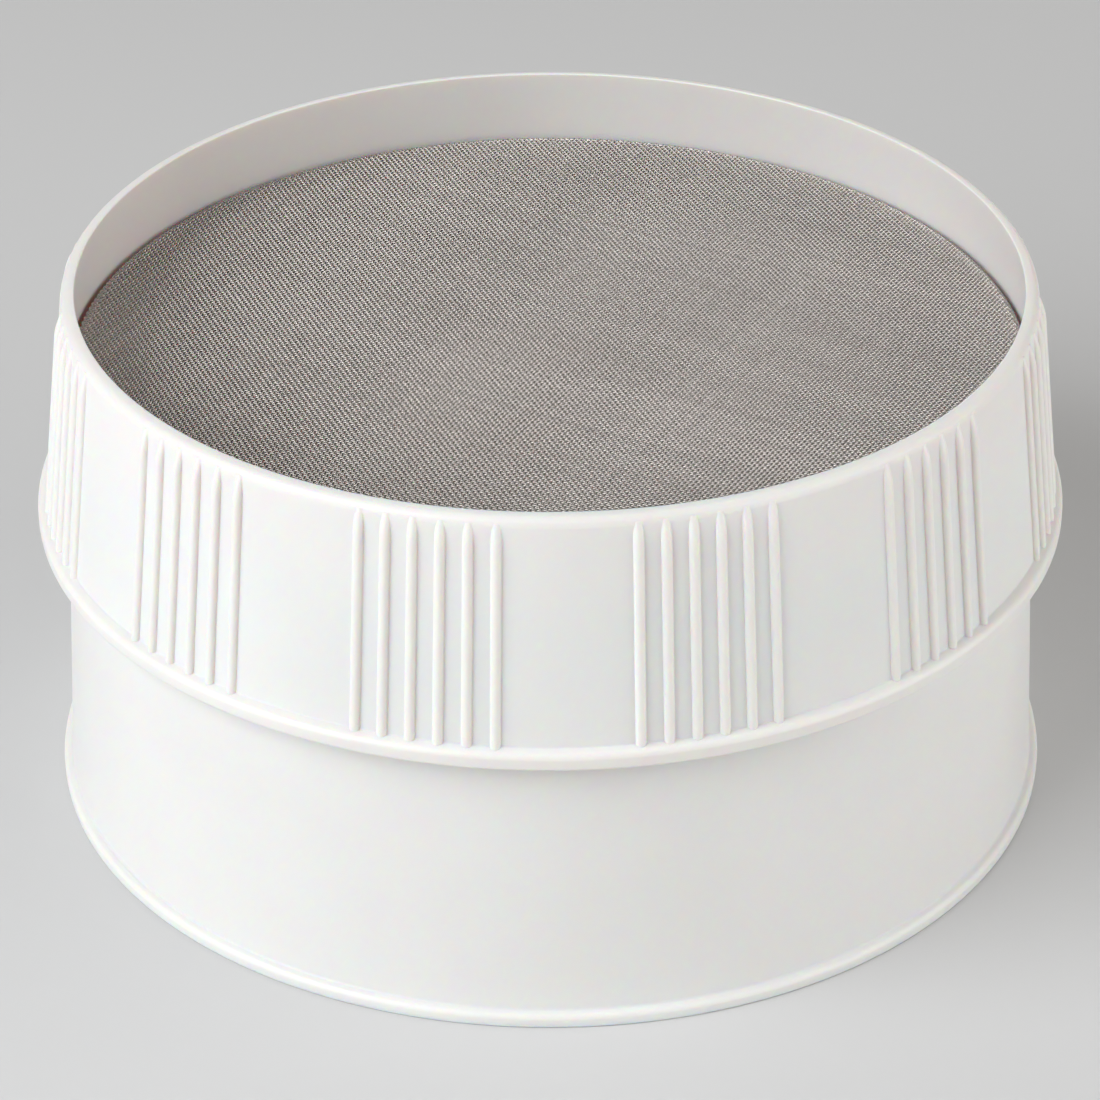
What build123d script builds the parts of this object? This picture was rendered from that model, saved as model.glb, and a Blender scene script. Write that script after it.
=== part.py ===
from build123d import *
import math
import os

# A flour sieve with a screw-on collar and a cloth of woven wire that can be changed.
# Lengths are millimetres and radii run from the sieve's own axis.
# The drum stands on Z = 0 with the axis along +Z, and the front is towards -Y.

# The whole sieve
overall_height = 125.2
sieve_bore_radius = 107.7     # inside the top of the rim
fit_clearance = 0.3           # between curved faces that slide past each other
seat_gap = 0.25               # between the flat of the cloth and the drum's lip
overrun = 1.0                 # how far a piece runs into the one that it grows from

# The collar: a tapered skirt with a crowned rim, a grip bead and grip ribs
collar_height = 56.3
rim_wall = 3.3                # thickness of the rim
rim_land = 1.3                # the level part of the rim's top
rim_shoulder = 0.9            # from the rim's outer edge in to the bend of its crown
rim_shoulder_fall = 0.5       # how far the crown has fallen at that bend
rim_fall = 1.3                # and at the outer edge
skirt_flare = 5.8             # how much wider the skirt is at its foot than at the rim
skirt_wall = 2.5
bead_height = 4.3
bead_fall = 0.6               # how far the bead's upper face falls towards the outside
bead_proud = 2.7
bead_edge = 0.8               # the cut that breaks the bead's upper edge
seat_flare = 3.8              # the bore's widening from the rim to the foot of its seat
seat_reach = 9.0              # how far the seat runs on below the cloth
rib_groups = 12
ribs_in_group = 6
rib_pitch_angle = 3.0         # degrees
front_group_angle = -103.2    # degrees, the group just left of the front
rib_width = 2.35
rib_proud = 1.15
rib_crest_share = 0.4         # the width of a rib's crest as a share of its root's
rib_top_drop = 2.4            # from the rim's outer edge to the ribs' upper ends
rib_foot_gap = 0.4            # between the ribs' lower ends and the bead

# The sieve cloth: a disc of woven wire, its edge turned down over the drum's lip
cloth_depth = 17.7            # from the rim's top down to the cloth
cloth_thickness = 0.6
cloth_bend = 1.9              # how much of the corner the bend cuts off each way
cloth_side_clearance = 0.4    # between the cloth's edge and the collar's seat
mesh_pitch = 24.0             # the mesh is drawn much coarser than it is, as a plain grid
mesh_bar = 2.2                # the strips between its square openings
mesh_border = 2.0             # between the bend and the corners of the outermost openings
mesh_turn_angle = 60.5        # degrees, along the wires of one set

# The hoop that binds the cloth's turned edge: a band of steel strip
hoop_height = 5.0
hoop_strip = 0.5
hoop_drop = 4.0               # from the cloth's flat down to the hoop's upper edge

# The drum: a tapered ring with a foot bead, a ledge, a neck and a lip
drum_wall = 3.0
drum_gap = 2.0                # between the skirt's bore and the drum where they meet
ledge_cover = 1.9             # how far up inside the skirt the ledge hides
ledge_step = 0.9
drum_flare = 3.6              # how much wider the drum is at its foot than at the ledge
foot_proud = 2.1
foot_height = 3.5
foot_fall = 1.1               # how far the foot's upper face falls towards the outside
lip_edge = 1.2                # the cut under the cloth's bend

# Heights and radii that follow from those sizes
collar_foot = overall_height - collar_height
rim_outer_radius = sieve_bore_radius + rim_wall
skirt_foot_radius = rim_outer_radius + skirt_flare
skirt_bore_radius = skirt_foot_radius - skirt_wall
bead_radius = skirt_foot_radius + bead_proud
bead_top = collar_foot + bead_height
rim_edge = overall_height - rim_fall
cloth_level = overall_height - cloth_depth
seat_foot = cloth_level - seat_reach
seat_foot_radius = sieve_bore_radius + seat_flare
seat_slope = seat_flare / (overall_height - seat_foot)
cloth_radius = sieve_bore_radius + seat_slope * cloth_depth - cloth_side_clearance
cloth_back = cloth_level - cloth_thickness
hoop_top = cloth_level - hoop_drop
hoop_foot = hoop_top - hoop_height
hoop_outer_radius = cloth_radius + hoop_strip
cloth_inner_radius = cloth_radius - cloth_thickness
neck_top_radius = cloth_inner_radius - fit_clearance
neck_bend = hoop_foot - overrun
lip_level = cloth_back - seat_gap
ledge_level = collar_foot + ledge_cover
ledge_radius = skirt_bore_radius - drum_gap
neck_foot_radius = ledge_radius - ledge_step
drum_foot_radius = ledge_radius + drum_flare
foot_radius = drum_foot_radius + foot_proud

os.makedirs("parts", exist_ok=True)

# The drum, turned from one outline of even wall
with BuildPart() as drum:
    with BuildSketch(Plane.XZ) as drum_section:
        with BuildLine():
            Polyline(
                (foot_radius, 0),
                (foot_radius, foot_height - foot_fall),
                (drum_foot_radius, foot_height),
                (ledge_radius, ledge_level),
                (neck_foot_radius, ledge_level),
                (neck_top_radius, neck_bend),
                (neck_top_radius, lip_level - lip_edge),
                (neck_top_radius - lip_edge, lip_level),
                (neck_top_radius - drum_wall, lip_level),
                (neck_top_radius - drum_wall, neck_bend),
                (neck_foot_radius - drum_wall, ledge_level),
                (drum_foot_radius - drum_wall, 0),
                close=True,
            )
        make_face()
    revolve(axis=Axis.Z)

# The sieve cloth, a shallow cap as thick as its crossed wires, with its mesh as a grid
inner_bend = cloth_bend - cloth_thickness
mesh_opening = mesh_pitch - mesh_bar
mesh_radius = cloth_radius - cloth_bend - mesh_border


def openings_that_fit(rows_out):
    """How many openings fit beside the middle in a row that is so many rows out."""
    row_edge = rows_out * mesh_pitch - mesh_bar / 2
    return int((math.sqrt(mesh_radius**2 - row_edge**2) + mesh_bar / 2) / mesh_pitch)


with BuildPart() as sieve_cloth:
    with BuildSketch(Plane.XZ) as cloth_section:
        with BuildLine():
            Polyline(
                (0, cloth_back),
                (0, cloth_level),
                (cloth_radius - cloth_bend, cloth_level),
                (cloth_radius, cloth_level - cloth_bend),
                (cloth_radius, hoop_foot),
                (cloth_inner_radius, hoop_foot),
                (cloth_inner_radius, cloth_back - inner_bend),
                (cloth_inner_radius - inner_bend, cloth_back),
                close=True,
            )
        make_face()
    revolve(axis=Axis.Z)
    with BuildSketch(Plane.XY.offset(cloth_level).rotated((0, 0, mesh_turn_angle))) as mesh:
        for row in range(openings_that_fit(1)):
            row_apart = (2 * row + 1) * mesh_pitch
            with GridLocations(mesh_pitch, row_apart, 2 * openings_that_fit(row + 1), 2):
                Rectangle(mesh_opening, mesh_opening)
    extrude(amount=-cloth_thickness, mode=Mode.SUBTRACT)

# The hoop goes round the cloth's turned edge
with BuildPart() as cloth_hoop:
    with BuildSketch(Plane.XY.offset(hoop_foot)) as hoop_ring:
        Circle(hoop_outer_radius)
        Circle(cloth_radius, mode=Mode.SUBTRACT)
    extrude(amount=hoop_height)

# One grip rib lies on the skirt's slope and narrows from its root to its crest
rib_top = rim_edge - rib_top_drop
rib_foot = bead_top + rib_foot_gap
slope_run = skirt_flare / (rim_edge - bead_top)
rib_length = (rib_top - rib_foot) * math.hypot(1, slope_run)
rib_middle = (rib_top + rib_foot) / 2
skirt_slope = Plane(
    origin=(rim_outer_radius + slope_run * (rim_edge - rib_middle), 0, rib_middle),
    x_dir=(-slope_run, 0, 1),
    z_dir=(1, 0, slope_run),
)
rib_side_run = rib_width * (1 - rib_crest_share) / 2
root_spread = 2 * overrun * rib_side_run / rib_proud
with BuildPart() as grip_rib:
    with BuildSketch(skirt_slope.offset(-overrun)):
        Rectangle(rib_length + root_spread, rib_width + root_spread)
    extrude(amount=overrun + rib_proud, taper=math.degrees(math.atan2(rib_side_run, rib_proud)))

# The collar, turned from one outline, with its grip ribs in groups round the skirt
group_spread = rib_pitch_angle * (ribs_in_group - 1)
first_rib_angle = front_group_angle - group_spread / 2
with BuildPart() as collar:
    with BuildSketch(Plane.XZ) as collar_section:
        with BuildLine():
            Polyline(
                (sieve_bore_radius, overall_height),
                (sieve_bore_radius + rim_land, overall_height),
                (rim_outer_radius - rim_shoulder, overall_height - rim_shoulder_fall),
                (rim_outer_radius, rim_edge),
                (skirt_foot_radius, bead_top),
                (bead_radius - bead_edge, bead_top - bead_fall),
                (bead_radius, bead_top - bead_fall - bead_edge),
                (bead_radius, collar_foot),
                (skirt_bore_radius, collar_foot),
                (seat_foot_radius, seat_foot),
                close=True,
            )
        make_face()
    revolve(axis=Axis.Z)
    with PolarLocations(0, rib_groups):
        with PolarLocations(0, ribs_in_group, first_rib_angle, group_spread, endpoint=True):
            add(grip_rib.part)

for piece, name in (
    (drum, "drum"),
    (sieve_cloth, "sieve_cloth"),
    (cloth_hoop, "cloth_hoop"),
    (collar, "collar"),
):
    piece.part.label = name
    export_step(piece.part, "parts/" + name + ".step")
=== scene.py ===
import math

import bmesh
import bpy
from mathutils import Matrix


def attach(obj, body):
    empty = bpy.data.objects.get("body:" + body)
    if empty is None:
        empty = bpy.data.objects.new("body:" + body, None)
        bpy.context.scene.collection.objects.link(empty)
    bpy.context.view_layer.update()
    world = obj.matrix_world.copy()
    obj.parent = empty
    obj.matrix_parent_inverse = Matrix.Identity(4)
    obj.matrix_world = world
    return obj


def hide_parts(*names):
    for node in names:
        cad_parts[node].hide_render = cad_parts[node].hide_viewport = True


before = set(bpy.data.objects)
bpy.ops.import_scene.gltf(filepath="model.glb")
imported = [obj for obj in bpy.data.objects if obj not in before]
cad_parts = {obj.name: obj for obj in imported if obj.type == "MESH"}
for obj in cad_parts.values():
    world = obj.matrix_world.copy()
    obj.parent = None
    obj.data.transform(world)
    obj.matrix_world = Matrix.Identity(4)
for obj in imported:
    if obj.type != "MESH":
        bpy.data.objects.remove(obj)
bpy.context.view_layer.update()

mm = 0.001


# The drum is a tapered ring of off-white nylon, moulded in one piece with its foot bead.
# Behind the collar it steps in to a neck with two thread ridges, and the neck ends in the
# rounded lip that the wire cloth is stretched over.
drum_outline = (
    # radius, height and reach of the rounding, in millimetres
    (118.0, 0.0, 0.6),
    (118.0, 3.05, 1.1),
    (115.9, 3.5, 0.5),
    (112.3, 70.8, 0.6),
    (111.4, 70.8, 0.3),
    (108.92, 97.5, 0.6),
    (108.92, 106.65, 1.1),
    (105.92, 106.65, 0.9),
    (105.92, 97.5, 0.6),
    (108.4, 70.8, 0.6),
    (112.9, 0.0, 0.6),
)
ring_sides = 360
edge_segments = 5
crease_angle = 35.0           # degrees, past which an edge stays crisp
thread_lead = 14.0
thread_starts = 2
thread_turn = 285.0           # degrees that each ridge runs round


def edit(piece):
    bpy.ops.object.select_all(action="DESELECT")
    bpy.context.view_layer.objects.active = piece
    piece.select_set(True)
    bpy.ops.object.mode_set(mode="EDIT")
    bpy.ops.mesh.select_all(action="SELECT")


def leave():
    bpy.ops.object.mode_set(mode="OBJECT")


def pick_ring(piece, radius, height):
    """Selects the edges that lie on one circle of a turned piece."""
    near = 0.02 * mm
    bpy.ops.mesh.select_all(action="DESELECT")
    mesh = bmesh.from_edit_mesh(piece.data)
    for edge in mesh.edges:
        edge.select_set(
            all(
                abs(end.co.z - height * mm) < near
                and abs(math.hypot(end.co.x, end.co.y) - radius * mm) < near
                for end in edge.verts
            )
        )
    bmesh.update_edit_mesh(piece.data)


def drawn_circle(name, sides, rings):
    """A tube drawn from a circle through rings of (x, height, radius), left open at both ends."""
    bpy.ops.object.select_all(action="DESELECT")
    x, height, radius = rings[0]
    bpy.ops.mesh.primitive_circle_add(vertices=sides, radius=radius * mm, location=(0, 0, 0))
    piece = bpy.context.object
    piece.name = piece.data.name = name
    edit(piece)
    bpy.ops.mesh.select_mode(type="EDGE")
    bpy.ops.transform.translate(value=(x * mm, 0, height * mm))
    for next_x, next_height, next_radius in rings[1:]:
        step = ((next_x - x) * mm, 0, (next_height - height) * mm)
        bpy.ops.mesh.extrude_edges_move(TRANSFORM_OT_translate={"value": step})
        scale = next_radius / radius
        bpy.ops.transform.resize(
            value=(scale, scale, 1), center_override=(next_x * mm, 0, next_height * mm)
        )
        x, height, radius = next_x, next_height, next_radius
    bpy.ops.mesh.select_all(action="SELECT")
    bpy.ops.mesh.region_to_loop()
    return piece


def turned(name, outline, sides):
    """A closed ring, turned through the corners of its outline, with its corners rounded."""
    piece = drawn_circle(name, sides, [(0, height, radius) for radius, height, _ in outline])
    bpy.ops.mesh.bridge_edge_loops()
    for radius, height, reach in outline:
        if reach:
            pick_ring(piece, radius, height)
            bpy.ops.mesh.bevel(offset=reach * mm, segments=edge_segments, affect="EDGES")
    bpy.ops.mesh.select_all(action="SELECT")
    bpy.ops.mesh.normals_make_consistent(inside=False)
    leave()
    return piece


def thread_ridges(name, root, crest, foot):
    """Ridges of trapezoid section that climb round the axis and run out at both ends."""
    turn_step = 3.0
    steps = round(thread_turn / turn_step)
    rise = thread_lead / 360 * turn_step
    run_out, end_size = 5, 0.3
    half_root, half_crest = 1.2, 0.55
    section = ((root, -half_root), (crest, -half_crest), (crest, half_crest), (root, half_root))
    bpy.ops.object.select_all(action="DESELECT")
    bpy.ops.mesh.primitive_circle_add(vertices=4, radius=mm, fill_type="NGON", location=(0, 0, 0))
    piece = bpy.context.object
    piece.name = piece.data.name = name
    for corner, (radius, drop) in zip(piece.data.vertices, section):
        corner.co = (radius * mm, 0, (foot + drop) * mm)
    edit(piece)
    bpy.ops.transform.resize(value=(1, 1, end_size), center_override=(root * mm, 0, foot * mm))
    angle, height, size = 0.0, foot, end_size
    for index in range(1, steps + 1):
        bpy.ops.mesh.extrude_region_move(TRANSFORM_OT_translate={"value": (0, 0, rise * mm)})
        bpy.ops.transform.rotate(
            value=-math.radians(turn_step), orient_axis="Z", center_override=(0, 0, 0)
        )
        angle += math.radians(turn_step)
        height += rise
        end = min(index, steps - index)
        next_size = min(1.0, end_size + (1 - end_size) * end / run_out)
        scale = next_size / size
        bpy.ops.transform.resize(
            value=(1, 1, scale),
            center_override=(root * mm * math.cos(angle), root * mm * math.sin(angle), height * mm),
        )
        size = next_size
    for _ in range(1, thread_starts):
        bpy.ops.mesh.select_all(action="SELECT")
        bpy.ops.mesh.duplicate_move()
        bpy.ops.transform.rotate(
            value=-math.radians(360 / thread_starts), orient_axis="Z", center_override=(0, 0, 0)
        )
    bpy.ops.mesh.select_all(action="SELECT")
    bpy.ops.mesh.normals_make_consistent(inside=False)
    leave()
    return piece


def moulded_together(piece, part):
    """The part becomes one with the piece, as one moulding."""
    bpy.ops.object.select_all(action="DESELECT")
    bpy.context.view_layer.objects.active = piece
    piece.select_set(True)
    union = piece.modifiers.new("union", "BOOLEAN")
    union.operation = "UNION"
    union.solver = "EXACT"
    union.object = part
    bpy.ops.object.modifier_apply(modifier=union.name)
    bpy.data.objects.remove(part)


def smooth(piece):
    """Soft shading, with the large faces kept flat and true beside their rounded edges."""
    bpy.ops.object.select_all(action="DESELECT")
    bpy.context.view_layer.objects.active = piece
    piece.select_set(True)
    bpy.ops.object.shade_smooth_by_angle(angle=math.radians(crease_angle))
    weights = piece.modifiers.new("weights", "WEIGHTED_NORMAL")
    weights.keep_sharp = True
    bpy.ops.object.modifier_apply(modifier=weights.name)


drum = turned("drum_body", drum_outline, ring_sides)
moulded_together(drum, thread_ridges("neck_thread", root=109.4, crest=112.3, foot=75.0))
smooth(drum)
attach(drum, "drum")
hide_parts("drum")


def moulding_group():
    """Satin of a moulded surface: faint mottle, flow marks in its shine and a fine grain."""
    group = bpy.data.node_groups.new("moulded_satin", "ShaderNodeTree")
    sockets = group.interface
    for name, kind, value in (
        ("Place", "NodeSocketVector", None),
        ("Colour", "NodeSocketColor", (0.8, 0.8, 0.8, 1)),
        ("Deep Colour", "NodeSocketColor", (0.7, 0.7, 0.7, 1)),
        ("Smoothest", "NodeSocketFloat", 0.3),
        ("Roughest", "NodeSocketFloat", 0.4),
    ):
        socket = sockets.new_socket(name, in_out="INPUT", socket_type=kind)
        if value is not None:
            socket.default_value = value
    sockets.new_socket("Colour", in_out="OUTPUT", socket_type="NodeSocketColor")
    sockets.new_socket("Roughness", in_out="OUTPUT", socket_type="NodeSocketFloat")
    sockets.new_socket("Height", in_out="OUTPUT", socket_type="NodeSocketFloat")
    nodes, links = group.nodes, group.links
    inside = nodes.new("NodeGroupInput")
    outside = nodes.new("NodeGroupOutput")

    def noise(scale, detail, stretch=None):
        node = nodes.new("ShaderNodeTexNoise")
        node.inputs["Scale"].default_value = scale
        node.inputs["Detail"].default_value = detail
        if stretch:
            mapping = nodes.new("ShaderNodeMapping")
            mapping.inputs["Scale"].default_value = stretch
            links.new(inside.outputs["Place"], mapping.inputs["Vector"])
            links.new(mapping.outputs["Vector"], node.inputs["Vector"])
        else:
            links.new(inside.outputs["Place"], node.inputs["Vector"])
        return node.outputs["Fac"]

    def ranged(source, low, high, to_low=0.0, to_high=1.0):
        node = nodes.new("ShaderNodeMapRange")
        node.inputs["From Min"].default_value = low
        node.inputs["From Max"].default_value = high
        for socket, end in (("To Min", to_low), ("To Max", to_high)):
            if isinstance(end, float):
                node.inputs[socket].default_value = end
            else:
                links.new(end, node.inputs[socket])
        links.new(source, node.inputs["Value"])
        return node.outputs["Result"]

    def summed(first, second, share):
        node = nodes.new("ShaderNodeMath")
        node.operation = "MULTIPLY_ADD"
        node.inputs[1].default_value = share
        links.new(second, node.inputs[0])
        links.new(first, node.inputs[2])
        return node.outputs["Value"]

    mottle = ranged(noise(scale=26, detail=4), 0.35, 0.7)
    flow_marks = noise(scale=30, detail=2, stretch=(1, 1, 0.25))
    grain = summed(noise(scale=45, detail=2), noise(scale=700, detail=2), share=0.08)
    blend = nodes.new("ShaderNodeMix")
    blend.data_type = "RGBA"
    links.new(mottle, blend.inputs["Factor"])
    links.new(inside.outputs["Colour"], blend.inputs["A"])
    links.new(inside.outputs["Deep Colour"], blend.inputs["B"])
    links.new(blend.outputs["Result"], outside.inputs["Colour"])
    links.new(
        ranged(flow_marks, 0.35, 0.65, inside.outputs["Smoothest"], inside.outputs["Roughest"]),
        outside.inputs["Roughness"],
    )
    links.new(grain, outside.inputs["Height"])
    return group


moulded_satin = moulding_group()


nylon_colour, nylon_deep_colour = (0.82, 0.817, 0.805), (0.80, 0.796, 0.782)


def nylon(name):
    """Off-white moulded nylon that lets a little light into it."""
    material = bpy.data.materials.new(name)
    material.use_nodes = True
    nodes, links = material.node_tree.nodes, material.node_tree.links
    shader = nodes["Principled BSDF"]
    place = nodes.new("ShaderNodeTexCoord")
    satin = nodes.new("ShaderNodeGroup")
    satin.node_tree = moulded_satin
    satin.inputs["Colour"].default_value = (*nylon_colour, 1)
    satin.inputs["Deep Colour"].default_value = (*nylon_deep_colour, 1)
    satin.inputs["Smoothest"].default_value = 0.36
    satin.inputs["Roughest"].default_value = 0.44
    bump = nodes.new("ShaderNodeBump")
    bump.inputs["Strength"].default_value = 0.25
    bump.inputs["Distance"].default_value = 0.1 * mm
    links.new(place.outputs["Object"], satin.inputs["Place"])
    links.new(satin.outputs["Colour"], shader.inputs["Base Color"])
    links.new(satin.outputs["Roughness"], shader.inputs["Roughness"])
    links.new(satin.outputs["Height"], bump.inputs["Height"])
    links.new(bump.outputs["Normal"], shader.inputs["Normal"])
    shader.inputs["Subsurface Weight"].default_value = 0.8
    shader.inputs["Subsurface Radius"].default_value = (1.0, 0.5, 0.2)
    shader.inputs["Subsurface Scale"].default_value = 3.0 * mm
    shader.inputs["IOR"].default_value = 1.5
    return material


drum.data.materials.append(nylon("drum_nylon"))


# The wire cloth is stainless flour cloth of round wire in plain weave. The wires of one set lie
# closer and almost straight, and those of the other are crimped over and under them. The cloth is
# drawn taut over the lip, and its edge is turned down round the drum and caught in the hoop.
# Each set is laid out wire by wire as splines with a round bevel, because thousands of crimped
# wires can't be drawn out by hand.
wire_width = 0.33
close_lift, open_lift = 0.075, 0.225    # how far a wire's crimps stand off the middle
cloth_middle = 107.12
flat_radius = 107.42          # where the bend over the lip begins
bend_radius = 2.1
edge_foot = 98.75
edge_reach = flat_radius + bend_radius * math.pi / 2 + (cloth_middle - bend_radius - edge_foot)
cloth_angle = math.radians(-29.5)
close_spacing, open_spacing = 0.777, 0.973
crest_share = 0.35            # half of a crimp's crest, as a share of the way to the next one
set_parts = 6                 # each set is this many meshes, to keep each one light
point_size = 4                # numbers that a spline stores for a point
fewest_points = 3


def over_lip(along, across, lift):
    """Where a point of the flat weave lies once the cloth's edge is turned down over the lip."""
    out = math.hypot(along, across)
    turn = min(max((out - flat_radius) / bend_radius, 0), math.pi / 2)
    down = max(out - flat_radius - bend_radius * math.pi / 2, 0)
    radius = min(out, flat_radius) + (bend_radius + lift) * math.sin(turn)
    height = cloth_middle - bend_radius - down + (bend_radius + lift) * math.cos(turn)
    share = radius / out if out else 1
    return along * share * mm, across * share * mm, height * mm


def wire_set(name, direction, spacing, crossing, first_lift, material):
    """One set of parallel wires, each with a crimp at every wire that it crosses."""
    count = int(edge_reach / spacing)
    reach = int(edge_reach / crossing) + 1
    lines = range(-count, count + 1)
    share = len(lines) / set_parts
    cosine, sine = math.cos(direction), math.sin(direction)
    for part in range(set_parts):
        curve = bpy.data.curves.new(name, "CURVE")
        curve.dimensions = "3D"
        for line in lines[round(part * share):round((part + 1) * share)]:
            across = line * spacing
            places = []
            for step in range(-reach, reach + 1):
                lift = first_lift if (line + step) % 2 else -first_lift
                out = math.hypot(step * crossing, across)
                for side in (-crest_share, crest_share) if out < flat_radius else (0,):
                    along = (step + side) * crossing
                    if math.hypot(along, across) <= edge_reach:
                        x = along * cosine - across * sine
                        y = along * sine + across * cosine
                        places += (*over_lip(x, y, lift), 1)
            points = len(places) // point_size
            if points >= fewest_points:
                spline = curve.splines.new("POLY")
                spline.points.add(points - 1)
                spline.points.foreach_set("co", places)
        curve.bevel_depth = wire_width / 2 * mm
        curve.bevel_resolution = 0
        curve.use_fill_caps = True
        wires = bpy.data.objects.new(f"{name}_{part + 1}", curve)
        bpy.context.collection.objects.link(wires)
        bpy.ops.object.select_all(action="DESELECT")
        bpy.context.view_layer.objects.active = wires
        wires.select_set(True)
        bpy.ops.object.convert(target="MESH")
        wires.data.name = wires.name
        bpy.ops.object.shade_smooth()
        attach(wires, "cloth_insert")
        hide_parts("sieve_cloth")
        wires.data.materials.clear()
        wires.data.materials.append(material)


def drawn_group():
    """Drawn or rolled steel: long faint streaks in its tone and in its shine."""
    group = bpy.data.node_groups.new("drawn_steel", "ShaderNodeTree")
    sockets = group.interface
    for name, kind in (
        ("Along", "NodeSocketVector"),
        ("Light Colour", "NodeSocketColor"),
        ("Dark Colour", "NodeSocketColor"),
        ("Smoothest", "NodeSocketFloat"),
        ("Roughest", "NodeSocketFloat"),
    ):
        sockets.new_socket(name, in_out="INPUT", socket_type=kind)
    sockets.new_socket("Colour", in_out="OUTPUT", socket_type="NodeSocketColor")
    sockets.new_socket("Roughness", in_out="OUTPUT", socket_type="NodeSocketFloat")
    nodes, links = group.nodes, group.links
    inside = nodes.new("NodeGroupInput")
    outside = nodes.new("NodeGroupOutput")
    streaks = nodes.new("ShaderNodeTexNoise")
    streaks.inputs["Scale"].default_value = 1
    streaks.inputs["Detail"].default_value = 2
    links.new(inside.outputs["Along"], streaks.inputs["Vector"])
    spread = nodes.new("ShaderNodeMapRange")
    spread.inputs["From Min"].default_value = 0.3
    spread.inputs["From Max"].default_value = 0.7
    links.new(streaks.outputs["Fac"], spread.inputs["Value"])
    blend = nodes.new("ShaderNodeMix")
    blend.data_type = "RGBA"
    links.new(spread.outputs["Result"], blend.inputs["Factor"])
    links.new(inside.outputs["Light Colour"], blend.inputs["A"])
    links.new(inside.outputs["Dark Colour"], blend.inputs["B"])
    links.new(blend.outputs["Result"], outside.inputs["Colour"])
    shine = nodes.new("ShaderNodeMapRange")
    links.new(spread.outputs["Result"], shine.inputs["Value"])
    links.new(inside.outputs["Smoothest"], shine.inputs["To Min"])
    links.new(inside.outputs["Roughest"], shine.inputs["To Max"])
    links.new(shine.outputs["Result"], outside.inputs["Roughness"])
    return group


drawn_steel = drawn_group()


def steel(name, light, dark, roughness, turn, stretch):
    """Stainless steel whose streaks are stretched as given, in directions turned about Z."""
    material = bpy.data.materials.new(name)
    material.use_nodes = True
    nodes, links = material.node_tree.nodes, material.node_tree.links
    shader = nodes["Principled BSDF"]
    place = nodes.new("ShaderNodeTexCoord")
    turned_place = nodes.new("ShaderNodeMapping")
    turned_place.inputs["Rotation"].default_value = (0, 0, -turn)
    stretched = nodes.new("ShaderNodeVectorMath")
    stretched.operation = "MULTIPLY"
    stretched.inputs[1].default_value = stretch
    drawn = nodes.new("ShaderNodeGroup")
    drawn.node_tree = drawn_steel
    drawn.inputs["Light Colour"].default_value = (*light, 1)
    drawn.inputs["Dark Colour"].default_value = (*dark, 1)
    drawn.inputs["Smoothest"].default_value = roughness[0]
    drawn.inputs["Roughest"].default_value = roughness[1]
    links.new(place.outputs["Object"], turned_place.inputs["Vector"])
    links.new(turned_place.outputs["Vector"], stretched.inputs[0])
    links.new(stretched.outputs["Vector"], drawn.inputs["Along"])
    links.new(drawn.outputs["Colour"], shader.inputs["Base Color"])
    links.new(drawn.outputs["Roughness"], shader.inputs["Roughness"])
    shader.inputs["Metallic"].default_value = 1
    return material


wire_light, wire_dark = (0.605, 0.566, 0.532), (0.54, 0.503, 0.472)
wire_shine, wire_streaks = (0.17, 0.23), (9, 420, 0)
open_angle = cloth_angle + math.pi / 2
close_steel = steel("close_wire_steel", wire_light, wire_dark, wire_shine, cloth_angle, wire_streaks)
open_steel = steel("open_wire_steel", wire_light, wire_dark, wire_shine, open_angle, wire_streaks)
wire_set("close_wires", cloth_angle, close_spacing, open_spacing, close_lift, close_steel)
wire_set("open_wires", open_angle, open_spacing, close_spacing, -open_lift, open_steel)


# The hoop is a band of thin stainless strip that is rolled round the turned edge of the cloth
# and pressed on to it. It stays on the cloth when the cloth is lifted out.
hoop_outline = (
    # radius, height and reach of the rounding, as for the drum
    (109.82, 98.5, 0.12),
    (110.32, 98.5, 0.2),
    (110.32, 103.5, 0.2),
    (109.82, 103.5, 0.12),
)
hoop = turned("hoop_band", hoop_outline, ring_sides)
smooth(hoop)
strip_light, strip_dark = (0.63, 0.62, 0.605), (0.56, 0.55, 0.535)
hoop_steel = steel(
    "hoop_steel", strip_light, strip_dark, roughness=(0.22, 0.32), turn=0, stretch=(40, 40, 3000)
)
hoop.data.materials.append(hoop_steel)
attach(hoop, "cloth_insert")
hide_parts("cloth_hoop")


# The collar is a tapered skirt of the same nylon that screws down over the neck and clamps the
# cloth. It has a crowned rim, a bead round its foot, and twelve groups of six half-round grip
# ribs, which run out under the rim and down on to the bead.
collar_outline = (
    # radius, height and reach of the rounding, as for the drum
    (107.7, 125.2, 0.35),
    (108.9, 125.2, 0.7),
    (110.3, 124.7, 0.75),
    (111.03, 123.4, 0.7),
    (116.8, 73.2, 0.3),
    (119.5, 72.6, 1.2),
    (119.5, 68.9, 0.7),
    (114.3, 68.9, 0.5),
    (111.5, 98.5, 0.5),
)
rib_groups, ribs_in_group, rib_pitch = 12, 6, 3.0
front_group_turn = -103.2     # degrees, to the middle of the group just left of the front
first_rib_turn = front_group_turn - rib_pitch * (ribs_in_group - 1) / 2
rib_sides = 24
rib_radius = 1.175
rib_proud = 1.15
rib_foot, rib_full_top, rib_top = 71.9, 118.4, 123.7
rib_top_shares = (0.2, 0.4, 0.6, 0.8, 1.0)
rib_top_curve = 1.7           # how late a rib's top bends in to the skirt
rim_edge, rim_edge_radius = 123.9, 111.0
bead_top, bead_top_radius = 73.2, 116.8
skirt_run = (bead_top_radius - rim_edge_radius) / (rim_edge - bead_top)


def skirt_radius(height):
    return rim_edge_radius + (rim_edge - height) * skirt_run


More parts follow.
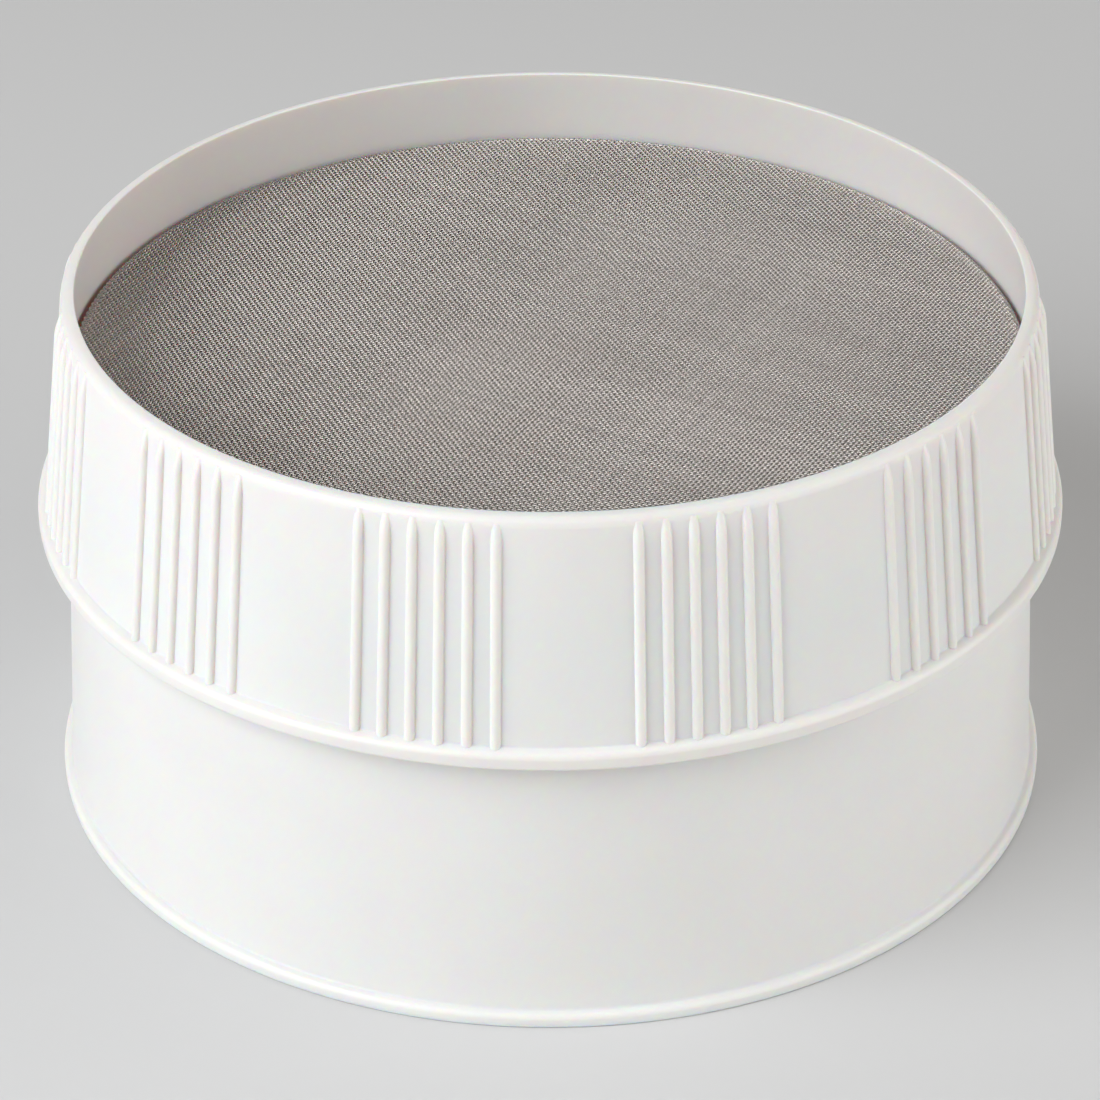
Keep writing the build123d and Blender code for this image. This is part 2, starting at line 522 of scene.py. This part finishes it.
def grip_ribs():
    """All the ribs, copied from one that sinks into the skirt towards its upper end."""
    rings = []
    sink = rib_radius - rib_proud
    for height in (rib_foot, rib_full_top):
        rings.append((skirt_radius(height) - sink, height, rib_radius))
    for share in rib_top_shares:
        height = rib_full_top + (rib_top - rib_full_top) * share
        fall = rib_proud * share**rib_top_curve
        rings.append((skirt_radius(height) - sink - fall, height, rib_radius))
    piece = drawn_circle("grip_ribs", rib_sides, rings)
    bpy.ops.mesh.fill()
    bpy.ops.mesh.select_all(action="SELECT")
    bpy.ops.mesh.normals_make_consistent(inside=False)
    bpy.ops.transform.rotate(
        value=-math.radians(first_rib_turn), orient_axis="Z", center_override=(0, 0, 0)
    )
    for count, turn in ((ribs_in_group, rib_pitch), (rib_groups, 360 / rib_groups)):
        bpy.ops.mesh.select_all(action="SELECT")
        for _ in range(count - 1):
            bpy.ops.mesh.duplicate_move()
            bpy.ops.transform.rotate(
                value=-math.radians(turn), orient_axis="Z", center_override=(0, 0, 0)
            )
    leave()
    return piece


collar = turned("collar_body", collar_outline, ring_sides)
moulded_together(collar, grip_ribs())
moulded_together(collar, thread_ridges("collar_thread", root=114.6, crest=111.75, foot=73.48))
smooth(collar)
collar.data.materials.append(nylon("collar_nylon"))
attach(collar, "collar")
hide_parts("collar")


# The studio is a wide pale floor of matt paper under large soft lamps, with a little warm light
# from all round. The camera stands where the photograph was taken from.
bpy.ops.object.select_all(action="DESELECT")
floor_size, floor_tone = 12, 0.65
bpy.ops.mesh.primitive_plane_add(size=floor_size, location=(0, 0, 0))
floor = bpy.context.object
floor.name = "floor"
paper = bpy.data.materials.new("floor_paper")
paper.use_nodes = True
paper_shader = paper.node_tree.nodes["Principled BSDF"]
paper_shader.inputs["Base Color"].default_value = (floor_tone, floor_tone, floor_tone, 1)
paper_shader.inputs["Roughness"].default_value = 0.8
floor.data.materials.append(paper)

world = bpy.data.worlds.new("studio_air")
bpy.context.scene.world = world
world.use_nodes = True
air = world.node_tree.nodes["Background"]
air.inputs["Color"].default_value = (1.0, 0.93, 0.84, 1)
air.inputs["Strength"].default_value = 0.12


def lamp(name, azimuth, elevation, size, power, colour):
    """A wide soft box that stands a little under two metres from the sieve and faces it."""
    away, middle = 1.9, 0.06
    turn, lift = math.radians(azimuth), math.radians(elevation)
    light = bpy.data.lights.new(name, "AREA")
    light.shape = "RECTANGLE"
    light.size, light.size_y = size
    light.energy = power
    light.color = colour
    holder = bpy.data.objects.new(name, light)
    bpy.context.collection.objects.link(holder)
    holder.location = (
        away * math.cos(lift) * math.cos(turn),
        away * math.cos(lift) * math.sin(turn),
        middle + away * math.sin(lift),
    )
    holder.rotation_euler = (math.pi / 2 - lift, 0, turn + math.pi / 2)


lamp("key_box", azimuth=215, elevation=35, size=(1.7, 1.4), power=38.5, colour=(0.96, 0.98, 1.0))
lamp("low_box", azimuth=340, elevation=12, size=(2.0, 1.6), power=21.5, colour=(1.0, 1.0, 1.0))
lamp("right_box", azimuth=0, elevation=30, size=(2.0, 1.6), power=6, colour=(1.0, 0.99, 0.97))
lamp("top_box", azimuth=90, elevation=88, size=(2.0, 1.6), power=5, colour=(1.0, 1.0, 1.0))
lamp("back_box", azimuth=90, elevation=20, size=(2.0, 1.0), power=4, colour=(1.0, 1.0, 1.0))

camera_data = bpy.data.cameras.new("camera")
camera_data.lens = 126.887
camera_data.sensor_width = 36
camera = bpy.data.objects.new("camera", camera_data)
camera.location = (0, -0.78742, 0.52845)
camera.rotation_euler = [math.radians(turn) for turn in (58.7485, 0.1203, -0.0661)]
bpy.context.collection.objects.link(camera)
bpy.context.scene.camera = camera
bpy.context.scene.view_settings.view_transform = "Standard"
